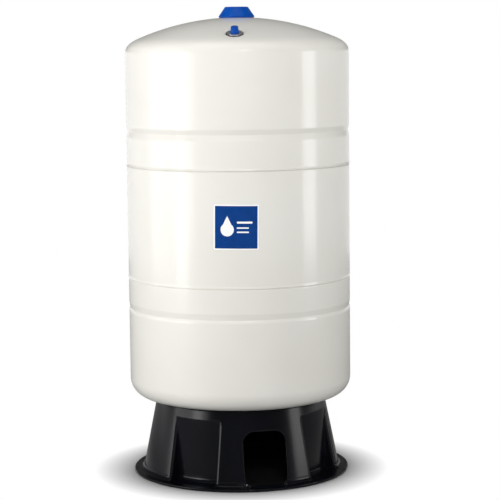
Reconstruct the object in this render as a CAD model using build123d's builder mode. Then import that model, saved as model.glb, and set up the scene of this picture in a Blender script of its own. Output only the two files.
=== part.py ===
"""Free-standing vertical pressure tank of about 80 litres, in millimetres.

The origin lies on the floor under the middle of the tank. +Z points up and the label faces -Y.
"""

import os
from math import atan2, asin, cos, degrees, radians, sin, sqrt

from build123d import *

os.makedirs("parts", exist_ok=True)

# Shell: two drawn heads and a rolled cylinder between them
shell_radius = 194.5
shell_wall = 1.3
bottom_height = 119.5  # lowest face of the shell above the floor
lower_head_depth = 48.0
lower_knuckle_radius = 32.0
lower_seam_rise = 179.0  # from the lower knuckle to the lower seam
middle_height = 196.0  # between the two seams
upper_seam_rise = 193.0  # from the upper seam to the upper knuckle
upper_head_depth = 60.0
upper_knuckle_radius = 22.0
lap_length = 12.0  # how far one shell reaches into the next
joggle_length = 4.0
joggle_fillet = 2.6
joggle_gap = 1.0  # between a joggle and the rim over it

# Rolled beads round the two heads
lower_bead_drop = 53.0  # below the lower seam
lower_bead_depth = 1.6
lower_bead_half_widths = (12.0, 12.0)  # below and above the root
upper_bead_rise = 58.5  # above the upper seam
upper_bead_depth = 2.6
upper_bead_half_widths = (11.0, 8.5)
bead_shoulder_radius = 14.0
bead_root_radius = 6.0

# Water side inside the lower head
liner_wall = 2.0
liner_rim_rise = 18.0  # above the bead's root
diaphragm_wall = 2.5
diaphragm_rim_rise = 16.0
clamp_ring_wall = 2.0
clamp_ring_half_height = 15.0
diaphragm_clearance = 1.5  # over the water connection's flange

# Water connection, with a one inch pipe thread
pipe_thread_radius = 16.6
pipe_bore_radius = 12.5
pipe_thread_relief_radius = 15.4  # undercut where the thread runs out, below the locknut
pipe_thread_relief_height = 2.0
pipe_hole_clearance = 0.4
connection_seat_radius = 34.0  # pressed flat in the bottom of the shell
connection_flange_radius = 28.0
connection_flange_thickness = 5.0
connection_drop = 44.0  # below the shell
connection_washer_radius = 26.0
connection_washer_thickness = 2.0
locknut_across_flats = 46.0
locknut_thickness = 9.0
o_ring_radius = 22.0
o_ring_section_radius = 1.6
o_ring_groove_half_width = 2.0

# Boss and cap on the apex
boss_radius = 14.0
boss_height = 12.5
boss_thread_radius = 5.1
boss_thread_depth = 10.0
boss_chamfer = 1.0
top_cap_radius = 31.25
top_cap_rim_height = 2.2
top_cap_upper_radius = 19.8
top_cap_height = 18.8
top_cap_edge_fillet = 2.6
top_cap_wall = 2.0
top_cap_collar_wall = 1.8
top_cap_collar_rise = 3.5  # collar's lower edge above the cap's rim
top_cap_gap = 0.3  # between the cap's rim and the dome
running_clearance = 0.05
thread_clearance = 0.05

# Air valve, on the front slope of the dome
valve_setback = 41.5  # from the side of the shell
valve_seat_radius = 15.2
valve_seat_depth = 1.5
valve_neck_radius = 6.0
valve_hole_clearance = 0.2
valve_flange_radius = 10.0
valve_flange_thickness = 2.5
valve_inner_seal_thickness = 1.5
valve_outer_seal_thickness = 1.2
valve_outer_seal_radius = 14.6
valve_nut_radius = 13.5
valve_nut_thickness = 1.5
valve_nut_edge_fillet = 0.6
valve_nut_notch_width = 3.0
valve_nut_notch_depth = 1.4
valve_nut_notch_count = 4
valve_stem_radius = 3.85
valve_stem_length = 7.9
valve_stem_chamfer = 0.4
valve_air_bore_radius = 2.2

# Valve core
core_radius = 2.6
core_length = 8.0
core_recess = 1.5  # barrel's top below the stem's top
core_cavity_radius = 1.75
core_floor_thickness = 1.0
core_floor_hole_radius = 0.95
core_seal_depth = 0.4
core_seal_length = 1.5
core_seal_rise = 2.0
pin_radius = 0.6
pin_recess = 0.3  # pin's tip below the stem's top
pin_collar_radius = 1.6
pin_collar_thickness = 0.5
pin_collar_drop = 1.2  # collar's top below the barrel's top
poppet_radius = 1.7
poppet_thickness = 1.5
spring_mean_radius = 1.2
spring_wire_radius = 0.15
spring_turns = 5

# Valve cap
valve_cap_gap = 0.1  # between the cap and the nut
valve_cap_flange_radius = 7.4
valve_cap_flange_height = 1.5
valve_cap_foot_radius = 6.7
valve_cap_top_radius = 6.3
valve_cap_roof = 1.2
valve_cap_edge_fillet = 1.1
valve_cap_flute_count = 16
valve_cap_flute_radius = 0.55
cap_seal_radius = 3.5
cap_seal_thickness = 1.2
cap_seal_gap = 0.05  # under the cap's roof

# Label
label_side = 75.0
label_thickness = 0.25
label_corner_radius = 1.5
label_turn = 0.8  # degrees, stuck on slightly askew
label_rise = 103.0  # middle of the label above the lower seam

# Stand
stand_wall = 4.0
foot_setback = 5.0  # from the side of the shell, seen from above
foot_thickness = 4.5
foot_edge_fillet = 1.2
foot_flange_width = 16.1
skirt_foot_fillet = 8.0
skirt_top_setback = 46.5  # from the side of the shell
skirt_top_fillet = 5.0
seat_ring_width = 40.0
seat_ring_thickness = 4.0
seat_clearance = 0.05  # between the seat ring and the shell's paint
recess_depth = 21.9  # at the skirt's foot
recess_half_width = 43.5
recess_top_half_width = 40.0
recess_top_height = 118.0
recess_corner_radius = 16.0
window_azimuth = 16.0  # from the front towards +X
window_width = 75.0
window_height = 89.0
window_sill_height = 6.5
window_top_radius = 21.0
window_sill_radius = 15.0
side_count = 4  # recesses, and studs between them

# Fasteners of the stand
stud_setback = 20.0  # from the edge of the seat ring
stud_radius = 4.0
stud_length = 21.0
stud_hole_clearance = 0.5
stud_pad_radius = 13.5
stud_pad_thickness = 3.4
washer_radius = 12.0
washer_thickness = 1.6
nut_across_flats = 13.0
nut_thickness = 6.5


def crown_radius(radius, depth, knuckle):
    """Crown radius of a dished head that meets its knuckle without a corner."""
    return ((radius - knuckle) ** 2 + depth**2 - knuckle**2) / (2 * (depth - knuckle))


# Levels of the shell
lower_crown_radius = crown_radius(shell_radius, lower_head_depth, lower_knuckle_radius)
upper_crown_radius = crown_radius(shell_radius, upper_head_depth, upper_knuckle_radius)
seat_sagitta = lower_crown_radius - sqrt(lower_crown_radius**2 - connection_seat_radius**2)
lower_knuckle_z = bottom_height - seat_sagitta + lower_head_depth
lower_crown_z = lower_knuckle_z - lower_head_depth + lower_crown_radius
lower_seam_z = lower_knuckle_z + lower_seam_rise
lower_bead_z = lower_seam_z - lower_bead_drop
upper_seam_z = lower_seam_z + middle_height
upper_bead_z = upper_seam_z + upper_bead_rise
upper_knuckle_z = upper_seam_z + upper_seam_rise
apex_z = upper_knuckle_z + upper_head_depth
upper_crown_z = apex_z - upper_crown_radius


def bead_points(radius, z, depth, half_widths):
    """Corners of a rolled bead, from its lower shoulder to its upper one."""
    below, above = half_widths
    return [(radius, z - below), (radius - depth, z), (radius, z + above)]


def bead_radii(inset):
    """Radii of a bead's three corners on the surface that lies inset inside the shell."""
    return [bead_shoulder_radius - inset, bead_root_radius + inset, bead_shoulder_radius - inset]


def upper_head_line(inset):
    """Section of the upper head at a depth under its outer face; returns its two ends."""
    radius = shell_radius - inset
    rim = (radius + shell_wall, upper_seam_z)
    points = [
        rim,
        (radius, upper_seam_z + joggle_length),
        *bead_points(radius, upper_bead_z, upper_bead_depth, upper_bead_half_widths),
        (radius, upper_knuckle_z),
    ]
    FilletPolyline(*points, radius=[joggle_fillet + inset, *bead_radii(inset)])
    centre = shell_radius - upper_knuckle_radius
    bend = degrees(atan2(upper_knuckle_z - upper_crown_z, centre))
    CenterArc((centre, upper_knuckle_z), upper_knuckle_radius - inset, 0, bend)
    CenterArc((0, upper_crown_z), upper_crown_radius - inset, bend, 90 - bend)
    return rim, (0, apex_z - inset)


def lower_crown_height(radius):
    """Height of the lower crown's outer face at a distance from the axis."""
    return lower_crown_z - sqrt(lower_crown_radius**2 - radius**2)


def bowl_line(inset, hole_radius, depth, rim_points, rim_radii):
    """Section of a bowl that lies inset inside the lower head; returns its two ends.

    depth is the bowl's own, from its knuckle to its lowest point. A bowl with a hole is flat
    round it, as far as the seat of the water connection.
    """
    radius = shell_radius - inset
    knuckle = lower_knuckle_radius - inset
    crown = crown_radius(radius, depth, knuckle)
    crown_z = lower_knuckle_z - depth + crown
    centre = shell_radius - lower_knuckle_radius
    bend = degrees(atan2(crown_z - lower_knuckle_z, centre))
    flat_z = bottom_height + inset if hole_radius else crown_z - crown
    flat_radius = sqrt(crown**2 - (crown_z - flat_z) ** 2)
    flat_angle = degrees(asin(flat_radius / crown))
    if hole_radius:
        Line((hole_radius, flat_z), (flat_radius, flat_z))
    CenterArc((0, crown_z), crown, flat_angle - 90, 90 - flat_angle - bend)
    CenterArc((centre, lower_knuckle_z), knuckle, -bend, bend)
    points = [
        (radius, lower_knuckle_z),
        *bead_points(radius, lower_bead_z, lower_bead_depth, lower_bead_half_widths),
        *rim_points,
    ]
    FilletPolyline(*points, radius=[*bead_radii(inset), *rim_radii])
    return (hole_radius, flat_z), rim_points[-1]


pipe_hole_radius = pipe_thread_radius + pipe_hole_clearance


def lower_head_line(inset):
    """Section of the lower head: a bowl whose rim is drawn in to enter the middle shell."""
    radius = shell_radius - inset
    rim_points = [
        (radius, lower_seam_z - joggle_gap - joggle_length),
        (radius - shell_wall, lower_seam_z - joggle_gap),
        (radius - shell_wall, lower_seam_z + lap_length),
    ]
    rim_radii = [joggle_fillet + shell_wall - inset, joggle_fillet + inset]
    return bowl_line(inset, pipe_hole_radius, lower_head_depth - inset, rim_points, rim_radii)


def shell_section(line_maker, outer_inset, inner_inset):
    """Closed section between two parallel lines of the shell."""
    with BuildSketch(Plane.XZ) as section:
        with BuildLine():
            outer_start, outer_end = line_maker(outer_inset)
            inner_start, inner_end = line_maker(inner_inset)
            Line(outer_start, inner_start)
            Line(outer_end, inner_end)
        make_face()
    return section.sketch


# Air valve: its axis stands square on the dome
valve_reach = shell_radius - valve_setback
valve_tilt = degrees(asin(valve_reach / upper_crown_radius))
valve_foot_z = upper_crown_z + sqrt(upper_crown_radius**2 - valve_reach**2)
valve_foot = Vector(0, -valve_reach, valve_foot_z)
valve_direction = Vector(0, -sin(radians(valve_tilt)), cos(radians(valve_tilt)))
valve_axis = Axis(valve_foot, valve_direction)
valve_plane = Plane(origin=valve_foot, x_dir=(1, 0, 0), z_dir=valve_direction)
valve_section = Plane(origin=valve_foot, x_dir=(1, 0, 0), z_dir=-valve_plane.y_dir)

# Levels along the valve's axis, from the dome's surface outwards
seat_level = -valve_seat_depth
seat_under_level = seat_level - shell_wall
valve_flange_level = seat_under_level - valve_inner_seal_thickness
valve_bottom_level = valve_flange_level - valve_flange_thickness
nut_level = seat_level + valve_outer_seal_thickness
nut_top_level = nut_level + valve_nut_thickness
stem_top_level = nut_top_level + valve_stem_length
core_top_level = stem_top_level - core_recess
core_bottom_level = core_top_level - core_length
spring_foot_level = core_bottom_level + core_floor_thickness
collar_top_level = core_top_level - pin_collar_drop
collar_level = collar_top_level - pin_collar_thickness
cap_level = nut_top_level + valve_cap_gap
cap_seal_top_level = stem_top_level + cap_seal_thickness
cap_roof_level = cap_seal_top_level + cap_seal_gap
cap_top_level = cap_roof_level + valve_cap_roof
core_seal_level = core_bottom_level + core_seal_rise


def valve_profile(*corners):
    """Section of a turned piece of the valve, from (radius, level) corners."""
    with BuildSketch(valve_section) as section:
        with BuildLine():
            Polyline(*corners, close=True)
        make_face()
    return section.sketch


def valve_ring(inner_radius, outer_radius, level, top_level):
    """Section of a plain ring of the valve."""
    return valve_profile(
        (inner_radius, level), (outer_radius, level), (outer_radius, top_level), (inner_radius, top_level)
    )


def finish(piece, label):
    """Name a finished piece and write it."""
    piece.part.label = label
    export_step(piece.part, f"parts/{label}.step")


# Upper head, with a flat seat pressed in for the air valve
with BuildPart() as upper_head:
    revolve(shell_section(upper_head_line, 0, shell_wall), axis=Axis.Z)
    with BuildSketch(valve_plane.offset(seat_under_level)):
        Circle(valve_seat_radius + shell_wall)
    extrude(amount=shell_wall)
    with BuildSketch(valve_plane.offset(seat_level)):
        Circle(valve_seat_radius)
    extrude(amount=2 * valve_seat_depth, taper=-45, mode=Mode.SUBTRACT)
    with BuildSketch(valve_plane.offset(2 * seat_under_level)):
        Circle(valve_neck_radius + valve_hole_clearance)
    extrude(amount=-2 * seat_under_level, mode=Mode.SUBTRACT)
finish(upper_head, "upper_head")


# Middle shell: its upper rim is drawn in to enter the upper head
def middle_line(inset):
    """Section of the middle shell at a depth under its outer face."""
    radius = shell_radius - inset
    points = [
        (radius, lower_seam_z),
        (radius, upper_seam_z),
        (radius - shell_wall, upper_seam_z + joggle_length),
        (radius - shell_wall, upper_seam_z + lap_length),
    ]
    FilletPolyline(*points, radius=[joggle_fillet + shell_wall - inset, joggle_fillet + inset])
    return points[0], points[-1]


with BuildPart() as middle_shell:
    revolve(shell_section(middle_line, 0, shell_wall), axis=Axis.Z)
finish(middle_shell, "middle_shell")

# Lower head
with BuildPart() as lower_head:
    revolve(shell_section(lower_head_line, 0, shell_wall), axis=Axis.Z)
finish(lower_head, "lower_head")

# Liner of the water side, against the lower head
liner_inner_inset = shell_wall + liner_wall


def liner_line(inset):
    """Section of the liner at a depth under the shell's outer face."""
    rim = [(shell_radius - inset, lower_bead_z + liner_rim_rise)]
    return bowl_line(inset, pipe_hole_radius, lower_head_depth - inset, rim, [])


with BuildPart() as liner:
    revolve(shell_section(liner_line, shell_wall, liner_inner_inset), axis=Axis.Z)
finish(liner, "liner")

# Diaphragm, resting on the liner with the tank empty and its air side charged
flange_top_z = bottom_height + liner_inner_inset + connection_flange_thickness
diaphragm_inner_inset = liner_inner_inset + diaphragm_wall
diaphragm_depth = lower_knuckle_z - flange_top_z - diaphragm_clearance


def diaphragm_line(inset):
    """Section of the diaphragm at a depth under the shell's outer face."""
    rim = [(shell_radius - inset, lower_bead_z + diaphragm_rim_rise)]
    return bowl_line(inset, 0, diaphragm_depth - (inset - liner_inner_inset), rim, [])


with BuildPart() as diaphragm:
    revolve(shell_section(diaphragm_line, liner_inner_inset, diaphragm_inner_inset), axis=Axis.Z)
finish(diaphragm, "diaphragm")


# Clamp ring, which holds the diaphragm and the liner in the bead
def clamp_line(inset):
    """Section of the clamp ring at a depth under the shell's outer face."""
    radius = shell_radius - inset
    points = [
        (radius, lower_bead_z - clamp_ring_half_height),
        *bead_points(radius, lower_bead_z, lower_bead_depth, lower_bead_half_widths),
        (radius, lower_bead_z + clamp_ring_half_height),
    ]
    FilletPolyline(*points, radius=bead_radii(inset))
    return points[0], points[-1]


clamp_inner_inset = diaphragm_inner_inset + clamp_ring_wall
with BuildPart() as clamp_ring:
    revolve(shell_section(clamp_line, diaphragm_inner_inset, clamp_inner_inset), axis=Axis.Z)
finish(clamp_ring, "clamp_ring")

# Water connection: a flanged nipple clamped through the liner and the shell
connection_seat_z = bottom_height + liner_inner_inset
connection_end_z = bottom_height - connection_drop
locknut_z = bottom_height - connection_washer_thickness - locknut_thickness
o_ring_groove_depth = 2 * o_ring_section_radius
with BuildPart() as connection_body:
    with BuildSketch(Plane.XY.offset(connection_seat_z)):
        Circle(connection_flange_radius)
    extrude(amount=connection_flange_thickness)
    with BuildSketch(Plane.XY.offset(connection_end_z)):
        Circle(pipe_thread_radius)
    extrude(amount=connection_seat_z - connection_end_z)
    with BuildSketch(Plane.XY.offset(connection_end_z)):
        Circle(pipe_bore_radius)
    extrude(amount=flange_top_z - connection_end_z, mode=Mode.SUBTRACT)
    with BuildSketch(Plane.XY.offset(connection_seat_z)):
        Circle(o_ring_radius + o_ring_groove_half_width)
        Circle(o_ring_radius - o_ring_groove_half_width, mode=Mode.SUBTRACT)
    extrude(amount=o_ring_groove_depth, mode=Mode.SUBTRACT)
    with BuildSketch(Plane.XY.offset(locknut_z - pipe_thread_relief_height)):
        Circle(pipe_thread_radius)
        Circle(pipe_thread_relief_radius, mode=Mode.SUBTRACT)
    extrude(amount=pipe_thread_relief_height, mode=Mode.SUBTRACT)
    end_edges = connection_body.edges().group_by(Axis.Z)[0]
    chamfer(end_edges, length=boss_chamfer)
finish(connection_body, "connection_body")

with BuildPart() as connection_o_ring:
    with BuildSketch(Plane.XZ):
        with Locations((o_ring_radius, connection_seat_z + o_ring_section_radius)):
            Circle(o_ring_section_radius)
    revolve(axis=Axis.Z)
finish(connection_o_ring, "connection_o_ring")

with BuildPart() as connection_washer:
    with BuildSketch(Plane.XY.offset(bottom_height - connection_washer_thickness)):
        Circle(connection_washer_radius)
        Circle(pipe_hole_radius, mode=Mode.SUBTRACT)
    extrude(amount=connection_washer_thickness)
finish(connection_washer, "connection_washer")

with BuildPart() as connection_locknut:
    with BuildSketch(Plane.XY.offset(locknut_z)):
        RegularPolygon(locknut_across_flats / 2, 6, major_radius=False)
        Circle(pipe_thread_radius + thread_clearance, mode=Mode.SUBTRACT)
    extrude(amount=locknut_thickness)
finish(connection_locknut, "connection_locknut")

# Boss welded on the apex
boss_top_z = apex_z + boss_height
with BuildPart() as apex_boss:
    with BuildSketch(Plane.XZ):
        with BuildLine():
            boss_angle = degrees(asin(boss_radius / upper_crown_radius))
            foot = CenterArc((0, upper_crown_z), upper_crown_radius, 90 - boss_angle, boss_angle)
            Polyline(
                foot @ 1,
                (0, boss_top_z - boss_thread_depth),
                (boss_thread_radius, boss_top_z - boss_thread_depth),
                (boss_thread_radius, boss_top_z),
                (boss_radius - boss_chamfer, boss_top_z),
                (boss_radius, boss_top_z - boss_chamfer),
                foot @ 0,
            )
        make_face()
    revolve(axis=Axis.Z)
finish(apex_boss, "apex_boss")

# Cap over the boss, held by its collar
cap_rim_z = upper_crown_z + sqrt((upper_crown_radius + top_cap_gap) ** 2 - top_cap_radius**2)
cap_inner_radius = top_cap_radius - top_cap_wall
cap_inner_rim_z = upper_crown_z + sqrt((upper_crown_radius + top_cap_gap) ** 2 - cap_inner_radius**2)
cap_top_z = cap_rim_z + top_cap_height
cap_roof_z = cap_top_z - top_cap_wall
collar_inner_radius = boss_radius + running_clearance
collar_outer_radius = collar_inner_radius + top_cap_collar_wall
collar_foot_z = cap_rim_z + top_cap_collar_rise
with BuildPart() as top_cap:
    with BuildSketch(Plane.XZ):
        with BuildLine():
            Polyline(
                (0, cap_roof_z),
                (collar_inner_radius, cap_roof_z),
                (collar_inner_radius, collar_foot_z),
                (collar_outer_radius, collar_foot_z),
                (collar_outer_radius, cap_roof_z),
                (top_cap_upper_radius - top_cap_wall, cap_roof_z),
                (cap_inner_radius, cap_rim_z + top_cap_rim_height),
                (cap_inner_radius, cap_inner_rim_z),
                (top_cap_radius, cap_rim_z),
                (top_cap_radius, cap_rim_z + top_cap_rim_height),
                (top_cap_upper_radius, cap_top_z),
                (0, cap_top_z),
                close=True,
            )
        make_face()
    revolve(axis=Axis.Z)
    top_edge = top_cap.edges().filter_by(GeomType.CIRCLE).group_by(Axis.Z)[-1]
    fillet(top_edge, radius=top_cap_edge_fillet)
finish(top_cap, "top_cap")

# Air valve: body with its flange inside the head
with BuildPart() as valve_body:
    section = valve_profile(
        (valve_air_bore_radius, valve_bottom_level),
        (valve_flange_radius, valve_bottom_level),
        (valve_flange_radius, valve_flange_level),
        (valve_neck_radius, valve_flange_level),
        (valve_neck_radius, nut_top_level),
        (valve_stem_radius, nut_top_level),
        (valve_stem_radius, stem_top_level - valve_stem_chamfer),
        (valve_stem_radius - valve_stem_chamfer, stem_top_level),
        (core_radius, stem_top_level),
        (core_radius, core_bottom_level),
        (valve_air_bore_radius, core_bottom_level),
    )
    revolve(section, axis=valve_axis)
finish(valve_body, "valve_body")

with BuildPart() as valve_inner_seal:
    section = valve_ring(valve_neck_radius, valve_flange_radius, valve_flange_level, seat_under_level)
    revolve(section, axis=valve_axis)
finish(valve_inner_seal, "valve_inner_seal")

with BuildPart() as valve_outer_seal:
    revolve(valve_ring(valve_neck_radius, valve_outer_seal_radius, seat_level, nut_level), axis=valve_axis)
finish(valve_outer_seal, "valve_outer_seal")

# Round nut with spanner notches in its rim
with BuildPart() as valve_nut:
    revolve(valve_ring(valve_neck_radius, valve_nut_radius, nut_level, nut_top_level), axis=valve_axis)
    rim_edge = valve_nut.edges().filter_by(GeomType.CIRCLE).sort_by(Axis.Z)[-1]
    fillet(rim_edge, radius=valve_nut_edge_fillet)
    with BuildSketch(valve_plane.offset(nut_level)):
        with PolarLocations(valve_nut_radius, valve_nut_notch_count, start_angle=45):
            Rectangle(2 * valve_nut_notch_depth, valve_nut_notch_width)
    extrude(amount=valve_nut_thickness, mode=Mode.SUBTRACT)
finish(valve_nut, "valve_nut")

# Valve core
with BuildPart() as core_barrel:
    section = valve_profile(
        (core_floor_hole_radius, core_bottom_level),
        (core_radius, core_bottom_level),
        (core_radius, core_seal_level),
        (core_radius - core_seal_depth, core_seal_level),
        (core_radius - core_seal_depth, core_seal_level + core_seal_length),
        (core_radius, core_seal_level + core_seal_length),
        (core_radius, core_top_level),
        (core_cavity_radius, core_top_level),
        (core_cavity_radius, spring_foot_level),
        (core_floor_hole_radius, spring_foot_level),
    )
    revolve(section, axis=valve_axis)
finish(core_barrel, "core_barrel")

with BuildPart() as core_seal:
    groove_radius = core_radius - core_seal_depth
    section = valve_ring(groove_radius, core_radius, core_seal_level, core_seal_level + core_seal_length)
    revolve(section, axis=valve_axis)
finish(core_seal, "core_seal")

with BuildPart() as core_pin:
    section = valve_profile(
        (0, core_bottom_level - poppet_thickness),
        (poppet_radius, core_bottom_level - poppet_thickness),
        (poppet_radius, core_bottom_level),
        (pin_radius, core_bottom_level),
        (pin_radius, collar_level),
        (pin_collar_radius, collar_level),
        (pin_collar_radius, collar_top_level),
        (pin_radius, collar_top_level),
        (pin_radius, stem_top_level - pin_recess),
        (0, stem_top_level - pin_recess),
    )
    revolve(section, axis=valve_axis)
finish(core_pin, "core_pin")

spring_height = collar_level - spring_foot_level - 2 * spring_wire_radius
with BuildPart() as core_spring:
    spring_foot = valve_foot + valve_direction * (spring_foot_level + spring_wire_radius)
    with BuildLine():
        coil = Helix(
            spring_height / spring_turns,
            spring_height,
            spring_mean_radius,
            center=spring_foot,
            direction=valve_direction,
        )
    with BuildSketch(Plane(origin=coil @ 0, z_dir=coil % 0)):
        Circle(spring_wire_radius)
    sweep(path=coil, is_frenet=True)
finish(core_spring, "core_spring")

# Cap of the air valve, with flutes for the fingers
with BuildPart() as valve_cap:
    section = valve_profile(
        (valve_stem_radius + running_clearance, cap_level),
        (valve_cap_flange_radius, cap_level),
        (valve_cap_flange_radius, cap_level + valve_cap_flange_height),
        (valve_cap_foot_radius, cap_level + valve_cap_flange_height),
        (valve_cap_top_radius, cap_top_level),
        (0, cap_top_level),
        (0, cap_roof_level),
        (valve_stem_radius + running_clearance, cap_roof_level),
    )
    revolve(section, axis=valve_axis)
    cap_edge = valve_cap.edges().filter_by(GeomType.CIRCLE).sort_by(Axis.Z)[-1]
    fillet(cap_edge, radius=valve_cap_edge_fillet)
    with BuildSketch(valve_plane.offset(cap_level + valve_cap_flange_height)):
        with PolarLocations(valve_cap_foot_radius, valve_cap_flute_count):
            Circle(valve_cap_flute_radius)
    extrude(amount=cap_top_level - cap_level, mode=Mode.SUBTRACT)
finish(valve_cap, "valve_cap")

with BuildPart() as cap_seal:
    section = valve_profile(
        (0, stem_top_level),
        (cap_seal_radius, stem_top_level),
        (cap_seal_radius, cap_seal_top_level),
        (0, cap_seal_top_level),
    )
    revolve(section, axis=valve_axis)
finish(cap_seal, "cap_seal")

# Label, a thin sheet round the front of the middle shell
label_z = lower_seam_z + label_rise
with BuildPart() as label:
    with BuildSketch(Plane.XY.offset(label_z - label_side)):
        Circle(shell_radius + label_thickness)
        Circle(shell_radius, mode=Mode.SUBTRACT)
    extrude(amount=2 * label_side)
    with BuildSketch(Plane.XZ):
        with Locations(Location((0, label_z), label_turn)):
            RectangleRounded(label_side, label_side, label_corner_radius)
    extrude(amount=2 * shell_radius, mode=Mode.INTERSECT)
finish(label, "label")

# Stand: radii, recesses and window
foot_radius = shell_radius - foot_setback
skirt_foot_radius = foot_radius - foot_flange_width
skirt_top_radius = shell_radius - skirt_top_setback
seat_ring_inner_radius = skirt_top_radius - seat_ring_width
recess_face_radius = skirt_foot_radius - recess_depth
stud_circle_radius = skirt_top_radius - stud_setback
window_turn = window_azimuth - 90
recess_turn = window_turn + 180 / side_count
seat_sphere_radius = lower_crown_radius + seat_clearance
stand_top_z = lower_crown_z - sqrt(seat_sphere_radius**2 - skirt_top_radius**2)


def radial_plane(turn):
    """Upright plane through the tank's axis that faces the way turn points, in degrees from +X."""
    outward = (cos(radians(turn)), sin(radians(turn)), 0)
    return Plane(origin=(0, 0, 0), x_dir=(-outward[1], outward[0], 0), z_dir=outward)


def recess_blocks(growth, foot_z):
    """Blocks that fill the four recesses, grown on every side."""
    with BuildPart() as blocks:
        for side in range(side_count):
            with BuildSketch(radial_plane(recess_turn + 360 / side_count * side)):
                top_z = recess_top_height + growth
                foot_half_width = recess_half_width + growth
                top_half_width = recess_top_half_width + growth
                Polygon(
                    (-foot_half_width, foot_z),
                    (foot_half_width, foot_z),
                    (top_half_width, top_z),
                    (-top_half_width, top_z),
                    align=None,
                )
                top_corners = vertices().group_by(Axis.Y)[-1]
                fillet(top_corners, radius=recess_corner_radius + growth)
            extrude(amount=2 * foot_radius)
        with BuildSketch(Plane.XY.offset(foot_z)):
            Circle(recess_face_radius - growth)
        extrude(amount=2 * recess_top_height, mode=Mode.SUBTRACT)
    return blocks.part


# Space inside the stand, one wall inside its skirt, recesses and seat ring
ring_under_radius = seat_sphere_radius + seat_ring_thickness
slope = (skirt_foot_radius - skirt_top_radius) / (stand_top_z - foot_thickness)
wall_inset = stand_wall * sqrt(1 + slope**2)
ring_edge_radius = skirt_top_radius - wall_inset + slope * seat_ring_thickness


def ring_under_height(radius):
    """Height of the seat ring's lower face at a distance from the axis."""
    return lower_crown_z - sqrt(ring_under_radius**2 - radius**2)


with BuildPart() as stand_space:
    with BuildSketch(Plane.XZ):
        with BuildLine():
            inner_angle = degrees(asin(seat_ring_inner_radius / ring_under_radius))
            edge_angle = degrees(asin(ring_edge_radius / ring_under_radius))
            ring_under = CenterArc(
                (0, lower_crown_z), ring_under_radius, inner_angle - 90, edge_angle - inner_angle
            )
            Polyline(
                ring_under @ 1,
                (skirt_foot_radius - wall_inset + slope * foot_thickness, 0),
                (0, 0),
                (0, stand_top_z),
                (seat_ring_inner_radius, stand_top_z),
                ring_under @ 0,
            )
        make_face()
    revolve(axis=Axis.Z)
    add(recess_blocks(stand_wall, 0), mode=Mode.SUBTRACT)

stud_turn = window_turn + 360 / side_count
pad_z = ring_under_height(stud_circle_radius - stud_pad_radius) - stud_pad_thickness / 2
with BuildPart() as base_stand:
    with BuildSketch(Plane.XZ) as stand_sketch:
        with BuildLine():
            ring_angle = degrees(asin(seat_ring_inner_radius / seat_sphere_radius))
            skirt_angle = degrees(asin(skirt_top_radius / seat_sphere_radius))
            ring_top = CenterArc(
                (0, lower_crown_z), seat_sphere_radius, ring_angle - 90, skirt_angle - ring_angle
            )
            Polyline(
                ring_top @ 1,
                (skirt_foot_radius, foot_thickness),
                (foot_radius, foot_thickness),
                (foot_radius, 0),
                (seat_ring_inner_radius, 0),
                ring_top @ 0,
            )
        make_face()
        corners = stand_sketch.vertices()
        fillet(corners.sort_by_distance((skirt_top_radius, stand_top_z))[0], radius=skirt_top_fillet)
        foot_corner = stand_sketch.vertices().sort_by_distance((skirt_foot_radius, foot_thickness))[0]
        fillet(foot_corner, radius=skirt_foot_fillet)
        rim_corners = stand_sketch.vertices().group_by(Axis.X)[-1]
        fillet(rim_corners, radius=foot_edge_fillet)
    revolve(axis=Axis.Z)
    add(recess_blocks(0, foot_thickness), mode=Mode.SUBTRACT)
    add(stand_space.part, mode=Mode.SUBTRACT)
    # Pads under the seat ring, flat for the washers
    with BuildSketch(Plane.XY.offset(pad_z)):
        with PolarLocations(stud_circle_radius, side_count, start_angle=stud_turn):
            Circle(stud_pad_radius)
    extrude(amount=lower_crown_height(stud_circle_radius) - seat_ring_thickness / 2 - pad_z)
    with BuildSketch(Plane.XY.offset(pad_z)):
        with PolarLocations(stud_circle_radius, side_count, start_angle=stud_turn):
            Circle(stud_radius + stud_hole_clearance)
    extrude(amount=stand_top_z - pad_z, mode=Mode.SUBTRACT)
    # Window for the pipe
    with BuildSketch(radial_plane(window_turn)):
        with Locations((0, window_sill_height + window_height / 2)):
            Rectangle(window_width, window_height)
        fillet(vertices().group_by(Axis.Y)[-1], radius=window_top_radius)
        fillet(vertices().group_by(Axis.Y)[0], radius=window_sill_radius)
    extrude(amount=2 * foot_radius, mode=Mode.SUBTRACT)
finish(base_stand, "base_stand")

# Studs welded under the shell, with their washers and nuts
with BuildPart() as base_studs:
    with BuildSketch(Plane.XY.offset(lower_crown_height(stud_circle_radius) - stud_length)):
        with PolarLocations(stud_circle_radius, side_count, start_angle=stud_turn):
            Circle(stud_radius)
    extrude(amount=stud_length + stud_radius)
    with Locations((0, 0, lower_crown_z)):
        Sphere(lower_crown_radius, mode=Mode.SUBTRACT)
finish(base_studs, "base_studs")

with BuildPart() as base_washers:
    with BuildSketch(Plane.XY.offset(pad_z - washer_thickness)):
        with PolarLocations(stud_circle_radius, side_count, start_angle=stud_turn):
            Circle(washer_radius)
            Circle(stud_radius + stud_hole_clearance, mode=Mode.SUBTRACT)
    extrude(amount=washer_thickness)
finish(base_washers, "base_washers")

with BuildPart() as base_nuts:
    with BuildSketch(Plane.XY.offset(pad_z - washer_thickness - nut_thickness)):
        with PolarLocations(stud_circle_radius, side_count, start_angle=stud_turn):
            RegularPolygon(nut_across_flats / 2, 6, major_radius=False)
            Circle(stud_radius + thread_clearance, mode=Mode.SUBTRACT)
    extrude(amount=nut_thickness)
finish(base_nuts, "base_nuts")
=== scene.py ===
"""Free-standing pressure tank: a painted steel shell on a moulded stand, in metres."""

import bmesh
import bpy
import numpy as np
from mathutils import Matrix, Vector


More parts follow.
